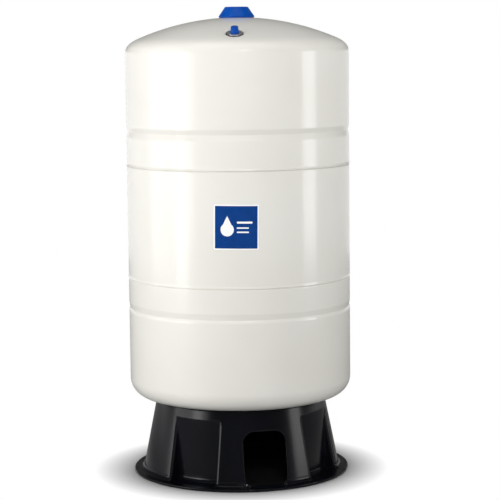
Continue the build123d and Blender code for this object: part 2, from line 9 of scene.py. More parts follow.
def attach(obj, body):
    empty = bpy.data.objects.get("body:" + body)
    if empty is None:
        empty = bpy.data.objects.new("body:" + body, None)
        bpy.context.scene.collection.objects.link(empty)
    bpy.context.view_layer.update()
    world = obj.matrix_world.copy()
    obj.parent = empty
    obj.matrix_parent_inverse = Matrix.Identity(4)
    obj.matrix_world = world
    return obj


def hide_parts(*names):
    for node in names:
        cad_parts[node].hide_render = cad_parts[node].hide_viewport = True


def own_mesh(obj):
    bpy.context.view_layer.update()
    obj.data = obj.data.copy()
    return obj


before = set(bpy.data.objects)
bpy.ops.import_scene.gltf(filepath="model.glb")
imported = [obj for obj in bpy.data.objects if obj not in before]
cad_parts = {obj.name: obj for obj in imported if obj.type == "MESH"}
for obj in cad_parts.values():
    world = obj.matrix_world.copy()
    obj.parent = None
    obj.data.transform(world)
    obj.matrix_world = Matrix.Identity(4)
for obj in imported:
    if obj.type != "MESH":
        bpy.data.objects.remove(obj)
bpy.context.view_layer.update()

# Viewpoint. A long lens, about three metres in front of the tank and a little
# below its dome, turned slightly round to the side of the pipe window.
camera_distance = 3.0855
camera_height = 0.7521
camera_pitch = 0.1174
camera_yaw = 0.0062
camera_roll = -0.0105
camera_swing = np.radians(1.3)
focal_pixels, frame_pixels, sensor_mm = 1764.0, 500, 36.0

forward = np.array([np.sin(camera_yaw), np.cos(camera_yaw), 0.0]) * np.cos(camera_pitch)
forward[2] = -np.sin(camera_pitch)
level_right = np.array([np.cos(camera_yaw), -np.sin(camera_yaw), 0.0])
level_up = np.cross(level_right, forward)
right = np.cos(camera_roll) * level_right + np.sin(camera_roll) * level_up
up = np.cos(camera_roll) * level_up - np.sin(camera_roll) * level_right
swing = np.array(Matrix.Rotation(camera_swing, 3, "Z"))
camera_data = bpy.data.cameras.new("camera")
camera_data.sensor_width = sensor_mm
camera_data.lens = sensor_mm * focal_pixels / frame_pixels
camera = bpy.data.objects.new("camera", camera_data)
bpy.context.scene.collection.objects.link(camera)
pose = np.eye(4)
pose[:3, :3] = swing @ np.column_stack([right, up, -forward])
pose[:3, 3] = swing @ np.array([0.0, -camera_distance, camera_height])
camera.matrix_world = Matrix(pose.tolist())
bpy.context.scene.camera = camera


# Shell. Two deep-drawn steel heads and a rolled cylinder between them, lapped
# and welded at two seams, each head with one rolled bead round its side. The
# dome has a small flat seat pressed in for the air valve.
shell_radius, shell_wall = 194.5, 1.3
bottom_height = 119.5
lower_depth, lower_knuckle = 48.0, 32.0
upper_depth, upper_knuckle = 60.0, 22.0
lower_side, middle_height, upper_side = 179.0, 196.0, 193.0
connection_seat, pipe_hole_radius = 34.0, 17.0
lap, joggle, joggle_bend, joggle_gap = 12.0, 1.6, 1.0, 0.8
flare_height, rim_flare, flare_bend = 3.5, 0.8, 4.0


def linear(hex_colour):
    """An sRGB colour such as #EDEBE2 as linear red, green, blue and alpha."""
    channels = np.array([int(hex_colour[i : i + 2], 16) for i in (1, 3, 5)]) / 255
    low, high = channels / 12.92, ((channels + 0.055) / 1.055) ** 2.4
    return (*np.where(channels <= 0.04045, low, high), 1.0)


def add(tree, kind, links=(), **settings):
    """A node of that kind with its sockets and properties set and its inputs linked.

    A setting is a property of the node where there is one, and else an input socket, whose
    name is written with _ for spaces, or in0, in1 for its number.
    """
    node = tree.nodes.new("ShaderNode" + kind)
    for name, value in settings.items():
        if hasattr(node, name):
            setattr(node, name, value)
        elif name.startswith("in") and name[2:].isdigit():
            node.inputs[int(name[2:])].default_value = value
        else:
            node.inputs[name.replace("_", " ")].default_value = value
    for socket, source in links:
        tree.links.new(source, node.inputs[socket])
    return node


def material(name, **settings):
    """A material with one principled shader; returns it, its node tree and the shader."""
    made = bpy.data.materials.new(name)
    made.use_nodes = True
    tree = made.node_tree
    tree.nodes.clear()
    shader = add(tree, "BsdfPrincipled", **settings)
    add(tree, "OutputMaterial", [("Surface", shader.outputs[0])])
    return made, tree, shader


def mottle(tree, shader, scale_mm, dark, light):
    """Colour that drifts between two shades in soft patches of the given size."""
    place = add(tree, "TexCoord").outputs["Object"]
    noise = add(tree, "TexNoise", [("Vector", place)], Scale=1000 / scale_mm, Detail=3.0)
    ramp = add(tree, "ValToRGB", [("Fac", noise.outputs["Fac"])])
    for stop, (where, colour) in zip(ramp.color_ramp.elements, ((0.35, dark), (0.65, light))):
        stop.position, stop.color = where, linear(colour)
    tree.links.new(ramp.outputs["Color"], shader.inputs["Base Color"])
    return place


def grain(tree, shader, place, scale_mm, height_mm, detail=2.0, sockets=("Normal",)):
    """Fine relief of the given grain size and height, and the noise that it comes from."""
    noise = add(tree, "TexNoise", [("Vector", place)], Scale=1000 / scale_mm, Detail=detail)
    relief = {"Strength": 1.0, "Distance": height_mm / 1000}
    bump = add(tree, "Bump", [("Height", noise.outputs["Fac"])], **relief)
    for socket in sockets:
        tree.links.new(bump.outputs["Normal"], shader.inputs[socket])
    return noise


def vary(tree, shader, noise, socket, low, high):
    """A socket that follows a noise between two values."""
    limits = {"From_Min": 0.3, "From_Max": 0.7, "To_Min": low, "To_Max": high}
    spread = add(tree, "MapRange", [("Value", noise.outputs["Fac"])], **limits)
    tree.links.new(spread.outputs["Result"], shader.inputs[socket])


# The paint is stove enamel on steel: cream white, with a hard clear gloss over a soft sheen,
# a faint orange peel from the spraying, and a shade that drifts a little over the sheet
enamel, tree, shader = material(
    "stove_enamel",
    Roughness=0.4,
    Specular_IOR_Level=0.05,
    Coat_Weight=0.8,
    Coat_Roughness=0.16,
    Coat_IOR=1.5,
)
place = mottle(tree, shader, 140.0, "#E6E4DC", "#E9E7E0")
peel = grain(tree, shader, place, 6.0, 0.003, detail=1.0, sockets=("Normal", "Coat Normal"))
vary(tree, shader, peel, "Roughness", 0.36, 0.44)


def crown_radius(radius, depth, knuckle):
    """Crown radius of a dished head that runs smoothly into its knuckle: the squares of the
    reach to the knuckle's middle and of the depth, less the knuckle's, over twice the depth
    less the knuckle."""
    return ((radius - knuckle) ** 2 + depth**2 - knuckle**2) / (2 * (depth - knuckle))


lower_crown = crown_radius(shell_radius, lower_depth, lower_knuckle)
upper_crown = crown_radius(shell_radius, upper_depth, upper_knuckle)
lower_crown_z = bottom_height + np.sqrt(lower_crown**2 - connection_seat**2)
lower_knuckle_z = lower_crown_z + lower_depth - lower_crown
lower_seam_z = lower_knuckle_z + lower_side
upper_seam_z = lower_seam_z + middle_height
upper_knuckle_z = upper_seam_z + upper_side
apex_z = upper_knuckle_z + upper_depth
upper_crown_z = apex_z - upper_crown

# Beads: the place of each, and its three corners as depth in the wall and rise over its middle
lower_bead_drop, upper_bead_rise = 53.0, 58.5
lower_bead_z, upper_bead_z = lower_seam_z - lower_bead_drop, upper_seam_z + upper_bead_rise
lower_bead = [(0.0, -4.3), (1.6, 0.0), (0.0, 9.5)]
upper_bead = [(0.0, -10.5), (2.2, 0.0), (0.0, 8.5)]
bead_shoulder, bead_root = 14.0, 1.6

# The valve's axis stands square on the dome, at its front. The dome's grid has square cells
# round it, and a whole number of them spans the hole for its stem.
valve_reach, valve_hole = 153.0, 6.2
hole_cells, seat_cells, far_cells, turn_margin = 8, 26, 20, 0.01
cell = valve_hole / hole_cells
valve_tilt = np.arcsin(valve_reach / upper_crown)
valve_foot = np.array([0, -valve_reach, upper_crown_z + np.sqrt(upper_crown**2 - valve_reach**2)])
valve_out = np.array([0, -np.sin(valve_tilt), np.cos(valve_tilt)])
valve_side = np.array([1.0, 0, 0])
valve_back = np.cross(valve_out, valve_side)
seat_depth, seat_radius, seat_edge, hole_fade_end = 1.5, 15.2, 0.5, 13.7
press_reach, press_room = 24.0, 12.0
seat_leans = valve_tilt - cell * np.arange(-seat_cells, seat_cells + 1) / upper_crown
far_leans = np.linspace(seat_leans[-1], 0, far_cells + 1)[1:]
crown_leans = np.concatenate([seat_leans, far_leans])


def run(start, end, step=8.0, edge=0.7):
    """Points from start to end, end left out, with one extra close to each end."""
    start, end = np.array(start, float), np.array(end, float)
    length = np.linalg.norm(end - start)
    inner = np.linspace(0, 1, max(2, int(length / step) + 1))[:-1]
    if length > 6 * edge:
        inner = np.unique(np.concatenate([inner, [edge / length, 1 - edge / length]]))
    return start + np.outer(inner, end - start)


def arc(centre, radius, start, end, step=1.0):
    """Points on an arc between two angles in degrees, its last point left out."""
    count = max(4, int(abs(np.radians(end - start)) * radius / step) + 1)
    angle = np.radians(np.linspace(start, end, count + 1)[:-1])
    return np.array(centre) + radius * np.column_stack([np.cos(angle), np.sin(angle)])


def rounded(points, radii, steps=5):
    """A broken line with its inner corners rounded: each corner gives way to an arc that
    touches both of its runs, whose length off the corner is radius / tan(half the angle)."""
    points = [np.array(point, float) for point in points]
    path, last = [], points[0]
    for before, corner, after, radius in zip(points, points[1:], points[2:], radii):
        back = (before - corner) / np.linalg.norm(before - corner)
        on = (after - corner) / np.linalg.norm(after - corner)
        half = np.arccos(np.clip(back @ on, -1, 1)) / 2
        tangent = radius / np.tan(half)
        middle = corner + (back + on) / np.linalg.norm(back + on) * radius / np.sin(half)
        start, end = corner + back * tangent, corner + on * tangent
        path.append(run(last, start))
        share = np.linspace(0, 1, steps + 1)[:-1, None]
        chord = start - middle + share * (end - start)
        path.append(middle + chord / np.linalg.norm(chord, axis=1)[:, None] * radius)
        last = end
    path.append(run(last, points[-1]))
    return np.vstack([*path, points[-1]])


def bead_radii(inset):
    """Radii of a bead's three corners on the face that lies inset under the paint."""
    return [bead_shoulder - inset, bead_root + inset, bead_shoulder - inset]


def bead_line(radius, z, bead):
    """Corners of a bead, pressed into a wall of that radius at that height."""
    return [(radius - depth, z + rise) for depth, rise in bead]


def knuckle_line(inset, count=40):
    """The bend between side and crown: a parabola whose tangents at both ends meet where the
    crown's tangent meets the side's upright line, shifted inwards, square to itself, by inset.
    It starts gently on the crown and is tightest at the side."""
    foot = np.array([shell_radius, upper_knuckle_z])
    lean = crown_leans[0]
    top = upper_crown * np.array([np.sin(lean), np.cos(lean)]) + (0, upper_crown_z)
    meet = np.array([shell_radius, top[1] - (shell_radius - top[0]) * np.tan(lean)])
    step = np.linspace(0, 1, count)[:-1, None]
    line = (1 - step) ** 2 * foot + 2 * step * (1 - step) * meet + step**2 * top
    along = np.gradient(np.vstack([line, top]), axis=0)[:-1]
    outward = np.column_stack([along[:, 1], -along[:, 0]])
    return line - inset * outward / np.linalg.norm(along, axis=1)[:, None]


def upper_head_line(inset):
    """Section of the upper head from its rim to its apex."""
    radius = shell_radius - inset
    points = [
        (radius + shell_wall, upper_seam_z),
        (radius, upper_seam_z + flare_height),
        *bead_line(radius, upper_bead_z, upper_bead),
        (radius, upper_knuckle_z),
    ]
    side = rounded(points, [flare_bend + inset, *bead_radii(inset)])
    crown = (upper_crown - inset) * np.column_stack([np.sin(crown_leans), np.cos(crown_leans)])
    crown = crown + (0, upper_crown_z)
    return np.vstack([side[:-1], knuckle_line(inset), crown])


def lower_head_line(inset):
    """Section of the lower head from its hole to its rim, drawn in to enter the middle shell."""
    radius, knuckle = shell_radius - inset, lower_knuckle - inset
    depth = lower_depth - inset
    crown = crown_radius(radius, depth, knuckle)
    crown_z = lower_knuckle_z - depth + crown
    flat_z = bottom_height + inset
    flat_radius = np.sqrt(crown**2 - (crown_z - flat_z) ** 2)
    start = np.degrees(np.arcsin(flat_radius / crown)) - 90
    bend = -np.degrees(np.arctan2(crown_z - lower_knuckle_z, shell_radius - lower_knuckle))
    points = [
        (radius, lower_knuckle_z),
        *bead_line(radius, lower_bead_z, lower_bead),
        (radius, lower_seam_z - joggle_gap - joggle),
        (radius - shell_wall, lower_seam_z - joggle_gap),
        (radius - shell_wall, lower_seam_z + lap),
    ]
    bends = [*bead_radii(inset), joggle_bend + shell_wall - inset, joggle_bend + inset]
    return np.vstack(
        [
            run((pipe_hole_radius, flat_z), (flat_radius, flat_z)),
            arc((0, crown_z), crown, start, bend, 5.0),
            arc((shell_radius - lower_knuckle, lower_knuckle_z), knuckle, bend, 0, 1.5),
            rounded(points, bends),
        ]
    )


def middle_line(inset):
    """Section of the middle shell, whose lower rim stands a little off the lower head and
    whose upper rim is drawn in to enter the upper head."""
    radius = shell_radius - inset
    points = [
        (radius + rim_flare, lower_seam_z),
        (radius, lower_seam_z + flare_height),
        (radius, upper_seam_z - joggle_gap - joggle),
        (radius - shell_wall, upper_seam_z - joggle_gap),
        (radius - shell_wall, upper_seam_z + lap),
    ]
    bends = [flare_bend + inset, joggle_bend + shell_wall - inset, joggle_bend + inset]
    return rounded(points, bends)


def wall_section(line):
    """Closed section of a sheet: its outer line, then its inner line back again."""
    return np.vstack([line(0), line(shell_wall)[::-1]])


def mesh_piece(name, corners, faces, finish, body, node, crease=35.0):
    """A closed mesh, given in millimetres, as a piece of the scene. Points that no face uses
    are left out, points that meet are merged, faces turned outwards, and edges that bend by
    more than crease stay sharp."""
    used, numbers = np.unique(faces, return_inverse=True)
    mesh = bpy.data.meshes.new(name)
    mesh.from_pydata(corners[used] / 1000, [], numbers.reshape(faces.shape).tolist())
    sewn = bmesh.new()
    sewn.from_mesh(mesh)
    bmesh.ops.remove_doubles(sewn, verts=sewn.verts, dist=2e-6)
    bmesh.ops.recalc_face_normals(sewn, faces=sewn.faces)
    sewn.to_mesh(mesh)
    sewn.free()
    mesh.shade_smooth()
    mesh.set_sharp_from_angle(angle=np.radians(crease))
    mesh.materials.append(finish)
    made = bpy.data.objects.new(name, mesh)
    bpy.context.scene.collection.objects.link(made)
    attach(made, body)
    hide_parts(node)
    return made


def ring_faces(turns, points):
    """Quads of a grid that closes both ways, numbered row by row."""
    row, column = np.meshgrid(np.arange(turns), np.arange(points), indexing="ij")
    next_row, next_column = (row + 1) % turns, (column + 1) % points
    quads = [row * points + column, next_row * points + column]
    quads += [next_row * points + next_column, row * points + next_column]
    return np.stack(quads, axis=-1).reshape(-1, 4)


def turned(section, turns):
    """A closed section carried round the tank's axis: point (i, k) lies at the angle
    turns[i], as far out and as high as the section's point k."""
    radius, height = section[:, 0], section[:, 1]
    x, y = np.outer(np.cos(turns), radius), np.outer(np.sin(turns), radius)
    return np.stack([x, y, np.broadcast_to(height, x.shape)], axis=-1)


def full_turn(count):
    """Angles of a whole turn, evenly spaced."""
    return np.arange(count) / count * 2 * np.pi


def press_seat(points, drop):
    """Presses the valve's seat into the dome: within its radius a point's height over the
    foot of the valve is at most that of the seat, outside it rises at 45 degrees until it
    meets the dome, and a root of squares softens both bends. The other side of the tank, past
    press_reach or press_room, stays as it is."""
    from_foot = points - valve_foot
    height = from_foot @ valve_out
    distance = np.linalg.norm(from_foot - height[..., None] * valve_out, axis=-1)
    outside = distance - seat_radius - drop
    slope = (outside + np.sqrt(outside**2 + seat_edge**2)) / 2
    gap = height - (slope - seat_depth - drop)
    press = (gap + np.sqrt(gap**2 + seat_edge**2)) / 2
    near = (distance < press_reach) & (np.abs(height) < press_room)
    return points - np.where(near, press, 0)[..., None] * valve_out


def round_hole(points, square):
    """Moves the points round the valve along the seat so that the square of grid lines at the
    hole's edge becomes a circle: a point's distance from the axis turns from its own into
    square, its distance in a square's sense, and the shift fades out over the seat."""
    from_foot = points - valve_foot
    height = from_foot @ valve_out
    aside = from_foot - height[..., None] * valve_out
    distance = np.linalg.norm(aside, axis=-1)
    fade = np.clip((hole_fade_end - square) / (hole_fade_end - valve_hole), 0, 1)
    scale = 1 + (square / np.maximum(distance, 1e-6) - 1) * fade
    return points + aside * (scale[..., None] - 1)


# The upper head: full turns of its section, with finer ones where the valve stands
section = wall_section(upper_head_line)
front_turn, seat_turns = 1.5 * np.pi, cell * np.arange(-seat_cells, seat_cells + 1) / valve_reach
plain_turns = full_turn(256)
plain_turns = plain_turns[np.abs(plain_turns - front_turn) > seat_turns[-1] + turn_margin]
turns = np.sort(np.concatenate([front_turn + seat_turns, plain_turns]))
points = turned(section, turns)
outer_count = len(upper_head_line(0))
first_crown = outer_count - len(crown_leans)
middle_turn = int(np.argmin(np.abs(turns - front_turn)))
middle_rows = [first_crown + seat_cells, len(section) - first_crown - 1 - seat_cells]
turn_steps = np.abs(np.arange(len(turns)) - middle_turn)[:, None]
skins = (slice(0, outer_count), slice(outer_count, None))
for middle, skin, drop in zip(middle_rows, skins, (0, shell_wall)):
    row_steps = np.abs(np.arange(len(section)) - middle)[None, skin]
    square = np.maximum(turn_steps, row_steps) * cell
    points[:, skin] = round_hole(press_seat(points[:, skin], drop), square)

# The hole: its block of the grid is left out of both skins, and a strip joins their edges
faces = ring_faces(len(turns), len(section))
turn, row = np.divmod(faces[:, 0], len(section))
near_outer, near_inner = (np.abs(row + 0.5 - middle) < hole_cells for middle in middle_rows)
hole = (np.abs(turn + 0.5 - middle_turn) < hole_cells) & (near_outer | near_inner)
along = np.arange(-hole_cells, hole_cells)
edge_turn = np.concatenate([along, 0 * along + hole_cells, -along, 0 * along - hole_cells])
edge_row = np.concatenate([0 * along - hole_cells, along, 0 * along + hole_cells, -along])
number = (middle_turn + edge_turn) * len(section)
outer_edge, inner_edge = number + middle_rows[0] + edge_row, number + middle_rows[1] - edge_row
strip = [outer_edge, np.roll(outer_edge, -1), np.roll(inner_edge, -1), inner_edge]
faces = np.vstack([faces[~hole], np.stack(strip, axis=-1)])
points = points.reshape(-1, 3)
mesh_piece("dome_and_side", points, faces, enamel, "tank", "upper_head")


def turned_piece(name, section, count, finish, body, node):
    """A closed section turned about the tank's axis in that many steps, as a piece."""
    points = turned(section, full_turn(count)).reshape(-1, 3)
    return mesh_piece(name, points, ring_faces(count, len(section)), finish, body, node)


for name, line, node in (
    ("rolled_cylinder", middle_line, "middle_shell"),
    ("bowl_and_side", lower_head_line, "lower_head"),
):
    turned_piece(name, wall_section(line), 288, enamel, "tank", node)

# Label: a square vinyl sticker on the front, printed with a blue field inside
# a white border, a plain water drop and three plain bars. It is stuck on by
# hand, a little askew.
label_side, label_thickness, label_sink, label_corner = 75.0, 0.25, 0.05, 1.5
label_rise, label_turn, label_count = 103.0, np.radians(0.8), 97
label_z = lower_seam_z + label_rise
field_half, field_corner, ink_spread = 35.3, 0.4, 0.12
drop_centre, drop_radius, drop_height = (-15.0, -4.0), 11.0, 23.0
bars = (
    ((14.0, 8.0), (13.0, 1.7), 1.6),
    ((11.0, -1.0), (10.0, 1.2), 1.1),
    ((11.0, -8.0), (10.0, 1.2), 1.1),
)

# Printed vinyl: a smooth film with a dull gloss, its inks lying flat in it
vinyl, tree, shader = material("printed_vinyl", Roughness=0.25, Specular_IOR_Level=0.1)
uv = add(tree, "UVMap", uv_map="print").outputs["UV"]


def outside_bar(centre, half, corner):
    """Distance outside a rounded bar: the offset from its centre along each axis, less what
    lies within the bar's inner rectangle, taken as one length, less the corner's radius."""
    inner = [extent - corner for extent in half]
    steps = (("SUBTRACT", centre), ("ABSOLUTE", (0, 0)), ("SUBTRACT", inner), ("MAXIMUM", (0, 0)))
    past = uv
    for operation, amount in steps:
        step = add(tree, "VectorMath", [(0, past)], operation=operation, in1=(*amount, 0))
        past = step.outputs[0]
    length = add(tree, "VectorMath", [(0, past)], operation="LENGTH").outputs["Value"]
    return add(tree, "Math", [(0, length)], operation="SUBTRACT", in1=corner).outputs[0]


def printed(distance):
    """1 inside a shape and 0 outside, over a soft edge as wide as the ink spreads."""
    settings = {"operation": "MULTIPLY_ADD", "use_clamp": True, "in1": -1 / ink_spread, "in2": 0.5}
    return add(tree, "Math", [(0, distance)], **settings).outputs[0]


# The drop is a disc under a cone: the cone's half width falls evenly with height, and it ends
# at the level of the disc's centre
off = add(tree, "VectorMath", [(0, uv)], operation="SUBTRACT", in1=(*drop_centre, 0)).outputs[0]
far = add(tree, "VectorMath", [(0, off)], operation="LENGTH").outputs["Value"]
disc = add(tree, "Math", [(0, far)], operation="SUBTRACT", in1=drop_radius).outputs[0]
axes = add(tree, "SeparateXYZ", [(0, off)]).outputs
aside = add(tree, "Math", [(0, axes["X"])], operation="ABSOLUTE").outputs[0]
lean = drop_radius / drop_height
flank = add(tree, "Math", [(0, axes["Y"]), (2, aside)], operation="MULTIPLY_ADD", in1=lean)
flank = add(tree, "Math", [(0, flank.outputs[0])], operation="SUBTRACT", in1=drop_radius)
below = add(tree, "Math", [(0, axes["Y"])], operation="MULTIPLY", in1=-1.0).outputs[0]
cone = add(tree, "Math", [(0, flank.outputs[0]), (1, below)], operation="MAXIMUM").outputs[0]
shape = disc
for other in (cone, *(outside_bar(*bar) for bar in bars)):
    shape = add(tree, "Math", [(0, shape), (1, other)], operation="MINIMUM").outputs[0]
field = printed(outside_bar((0, 0), (field_half, field_half), field_corner))
spared = add(tree, "Math", [(0, printed(shape)), (1, field)], operation="MULTIPLY").outputs[0]
blue_share = add(tree, "Math", [(0, field), (1, spared)], operation="SUBTRACT").outputs[0]
noise = add(tree, "TexNoise", [("Vector", uv)], Scale=0.06, Detail=2.0)
blue = add(tree, "ValToRGB", [("Fac", noise.outputs["Fac"])])
for stop, (where, colour) in zip(blue.color_ramp.elements, ((0.3, "#063A7E"), (0.7, "#0A3F88"))):
    stop.position, stop.color = where, linear(colour)
inks = [("Factor", blue_share), (7, blue.outputs["Color"])]
ink = add(tree, "Mix", inks, data_type="RGBA", in6=linear("#FBFBFA"))
tree.links.new(ink.outputs[2], shader.inputs["Base Color"])

# The sheet is a square grid with round corners: near a corner, the offset past the inner
# square is shortened from a square's to a circle's, so that the outline becomes an arc
along = np.linspace(-label_side / 2, label_side / 2, label_count)
grids = np.stack(np.meshgrid(along, along, indexing="ij"))
limit = label_side / 2 - label_corner
past = np.maximum(np.abs(grids) - limit, 0)
reach = np.sqrt((past**2).sum(0))
scale = np.where(reach > 0, past.max(0) / np.maximum(reach, 1e-9), 1.0)
flat = np.sign(grids) * (np.minimum(np.abs(grids), limit) + past * scale)
cosine, sine = np.cos(label_turn), np.sin(label_turn)
turned_x = flat[0] * cosine + flat[1] * sine
turned_z = flat[1] * cosine - flat[0] * sine
angle = turned_x / shell_radius
sheets = []
for radius in (shell_radius + label_thickness, shell_radius - label_sink):
    sheet = [radius * np.sin(angle), -radius * np.cos(angle), label_z + turned_z]
    sheets.append(np.stack(sheet, axis=-1).reshape(-1, 3))
number = np.arange(label_count**2).reshape(label_count, label_count)
corners = [number[:-1, :-1], number[1:, :-1], number[1:, 1:], number[:-1, 1:]]
front = np.stack(corners, axis=-1).reshape(-1, 4)
rim = np.concatenate([number[:-1, 0], number[-1, :-1], number[:0:-1, -1], number[0, :0:-1]])
next_rim, behind = np.roll(rim, -1), label_count**2
edge = np.stack([rim, rim + behind, next_rim + behind, next_rim], axis=-1)
faces = np.vstack([front, front[:, ::-1] + behind, edge])
points = np.concatenate(sheets)
label = mesh_piece("front_label", points, faces, vinyl, "tank", "label")

# The print's own coordinates, in millimetres from the middle of the label
layer = label.data.uv_layers.new(name="print")
corner_points = np.zeros(len(label.data.vertices) * 3)
label.data.vertices.foreach_get("co", corner_points)
corner_points = corner_points.reshape(-1, 3) * 1000
print_x = np.arctan2(corner_points[:, 0], -corner_points[:, 1]) * shell_radius
print_z = corner_points[:, 2] - label_z
print_uv = [print_x * cosine - print_z * sine, print_z * cosine + print_x * sine]
loops = np.zeros(len(label.data.loops), int)
label.data.loops.foreach_get("vertex_index", loops)
layer.data.foreach_set("uv", np.column_stack(print_uv)[loops].ravel())

# Stand: one moulding of black polypropylene. A skirt on a foot flange, with
# four recesses in its sides, one window that the water pipe goes through, and
# a ring on top that the bowl rests on.
foot_radius, foot_thickness, foot_edge = 189.5, 4.5, 1.2
skirt_foot, foot_bend, skirt_top, top_bend = 173.4, 8.0, 148.0, 5.0
stand_wall, ring_inner, ring_thickness, seat_gap = 4.0, 108.0, 4.0, 0.05
inner_top, inner_widening, bend_drop = 121.5, 1.0, 0.9
recess_face, recess_half, recess_top_half, recess_top = 151.5, 43.5, 40.0, 118.0
recess_corner, recess_edge, recess_steepness = 16.0, 8.0, 8.0
recess_root, shallow_depth = 1.5, 3.0
window_turn, side_count = np.radians(16.0 - 90.0), 4
window_half, window_low, window_high = 37.5, 6.5, 95.5
window_bend, sill_bend, window_edge, window_fade = 21.0, 15.0, 1.2, 22.0
seat_sphere, under_sphere = lower_crown + seat_gap, lower_crown + seat_gap + ring_thickness
stand_top = lower_crown_z - np.sqrt(seat_sphere**2 - skirt_top**2)
skirt_slope = (skirt_foot - skirt_top) / (stand_top - foot_thickness)
wall_across = stand_wall * np.sqrt(1 + skirt_slope**2)
bend_z = foot_thickness + foot_bend

# Moulded polypropylene: nearly black, smooth from the mould, with a satin gloss in which the
# lamps show as long soft streaks, and a grain just coarse enough to break their edges
polypropylene, tree, shader = material(
    "moulded_polypropylene", Roughness=0.2, IOR=1.49, Specular_IOR_Level=0.25
)
place = mottle(tree, shader, 70.0, "#07080B", "#0B0C12")
spark = grain(tree, shader, place, 1.6, 0.012, detail=3.0)
vary(tree, shader, spark, "Roughness", 0.18, 0.23)


def soft_min(first, second, bend):
    """The smaller of two values, with a bend of the given size where they meet."""
    return (first + second - np.sqrt((first - second) ** 2 + bend**2)) / 2


def cone_radius(z):
    """Radius of the plain skirt, which falls evenly with height."""
    return skirt_foot - (z - foot_thickness) * skirt_slope


def half_width(z):
    """Half the width of a recess, which falls evenly up to its top."""
    return recess_half - (recess_half - recess_top_half) * np.clip(z, 0, recess_top) / recess_top


def recess_cut(x, z, inset):
    """How deep a recess cuts into the skirt at a point of its front view.

    With the distance inside the outline, the cut grows as a quarter circle over the edge,
    then as a steep straight wall, up to the depth of the flat face, with a rounded root that
    is smaller where the recess is shallow; inset is 1 for the inner skin, whose outline and
    face lie one wall further out.
    """
    growth = inset * stand_wall
    past_side = np.abs(x) - half_width(z) - growth + recess_corner
    past_top = z - recess_top + recess_corner - growth
    corner = np.hypot(np.maximum(past_side, 0), np.maximum(past_top, 0))
    inside = recess_corner - np.where(corner > 0, corner, np.maximum(past_side, past_top))
    over = np.clip(inside + recess_edge, 0, recess_edge)
    edge = recess_edge - np.sqrt(recess_edge**2 - over**2)
    wall = edge + recess_steepness * np.maximum(inside, 0)
    depth = np.maximum(cone_radius(z) - inset * wall_across - recess_face + growth, 0)
    root = recess_root * depth / (depth + shallow_depth)
    return np.maximum(soft_min(wall, depth, root), 0)


def skin_radius(x, z, recessed, inset):
    """Radius of the skirt's outer skin, or of its inner one where inset is 1: the cone less
    the recess's cut, and outside, below the foot bend, a quarter circle out to the flange."""
    height = np.maximum(z, bend_z) if inset == 0 else z
    radius = cone_radius(height) - inset * wall_across - recessed * recess_cut(x, height, inset)
    drop = np.clip(bend_z - z, 0, foot_bend) * (1 - inset)
    return radius + foot_bend - np.sqrt(foot_bend**2 - drop**2)


def round_window(x, z):
    """Moves grid lines of the front view so that the square corners of the window become
    arcs: near a corner, offsets from the arc's centre shrink from a square's to a circle's,
    and the shift fades out over the next few centimetres."""
    for high in (True, False):
        bend = (window_bend if high else sill_bend) + window_edge
        middle_z = window_high - window_bend if high else window_low + sill_bend
        side = np.abs(x) - window_half + bend - window_edge
        rise = (z - middle_z) * (1 if high else -1)
        square, circle = np.maximum(side, rise), np.hypot(side, rise)
        fade = np.clip(1 - (square - bend) / window_fade, 0, 1) ** 2
        scale = 1 + (square / np.maximum(circle, 1e-6) - 1) * np.where(square > bend, fade, 1)
        scale = np.where((side > 0) & (rise > 0), scale, 1)
        x = x + np.sign(x) * side * (scale - 1)
        z = z + (1 if high else -1) * rise * (scale - 1)
    return x, z


# Lines up the stand, close together at the edges of the recesses and of the window
off_edge = [-10.5, -8, -6.6, -6, -5.4, -4.8, -4.3, -3.8, -3.3, -2.9, -2.6, -2.3, -2, -1.7, -1.4]
off_edge += [-1.1, -0.8, -0.55, -0.35, -0.18, -0.05, 0.1, 0.35, 0.7, 1.1, 1.5, 1.9, 2.2, 2.5, 2.8]
off_edge += [3.2, 3.8, 5, 7.5, 11, 16, 22, 29, 36]
recess_lines = recess_half - np.array(off_edge)
window_lines = [6, 11, 16.5, 20, 23, 26, 29, 31.5, 33.7, 35.6, 37.3, 38.7, 40.5, 43, 46.5, 51, 60]
plain_lines = [9, 18, 27, 36, 44, 52, 60]
columns = []
for side in range(2 * side_count):
    lines = np.array(recess_lines if side % 2 else (plain_lines if side else window_lines))
    centre = window_turn + side * np.pi / side_count
    lines = np.unique(np.concatenate([-lines, [0.0], lines]))
    columns += [(centre, line, side % 2, side == 0) for line in lines]
centre, line, recessed, windowed = (np.array(values)[:, None] for values in zip(*columns))

# Heights of the lines round the stand, from the top edge down to the flange
skin_z = [124, 121, 118, 115.5, 114, 112.8, 111, 108, 104.5, 101, 98.6, 96.7, 94.8, 92.3, 89.5]
skin_z += [86.5, 83.5, 80.5, 77.5, 74.5, 70, 64, 58, 52, 46, 40, 34, 28, 24.5, 21.5, 18.5, 15.8]
skin_z += [14, 12.5, 11, 9.6, 8.2, 7, 6.1, 5.3, 4.75, 4.5]
skin_z = np.array(skin_z)[None, :]
stretch = np.where(recessed == 1, half_width(skin_z) / recess_half, 1.0)
front_x, front_z = line * stretch, skin_z + 0 * line
window_x, window_z = round_window(front_x, front_z)
front_x = np.where(windowed, window_x, front_x)
front_z = np.where(windowed, window_z, front_z)
outer_r = skin_radius(front_x, front_z, recessed, 0)
outer_turn = centre + np.arcsin(front_x / outer_r)
inner_rows = slice(None, None, -1)
inner_x, inner_z = front_x[:, inner_rows], front_z[:, inner_rows]
inner_r = skin_radius(inner_x, inner_z, recessed, 1)
inner_turn = centre + np.arcsin(inner_x / inner_r)


def rows(turn, radius, z):
    """Rows of the stand's grid, as angle, radius and height of each point."""
    return np.broadcast_arrays(turn, radius, z)


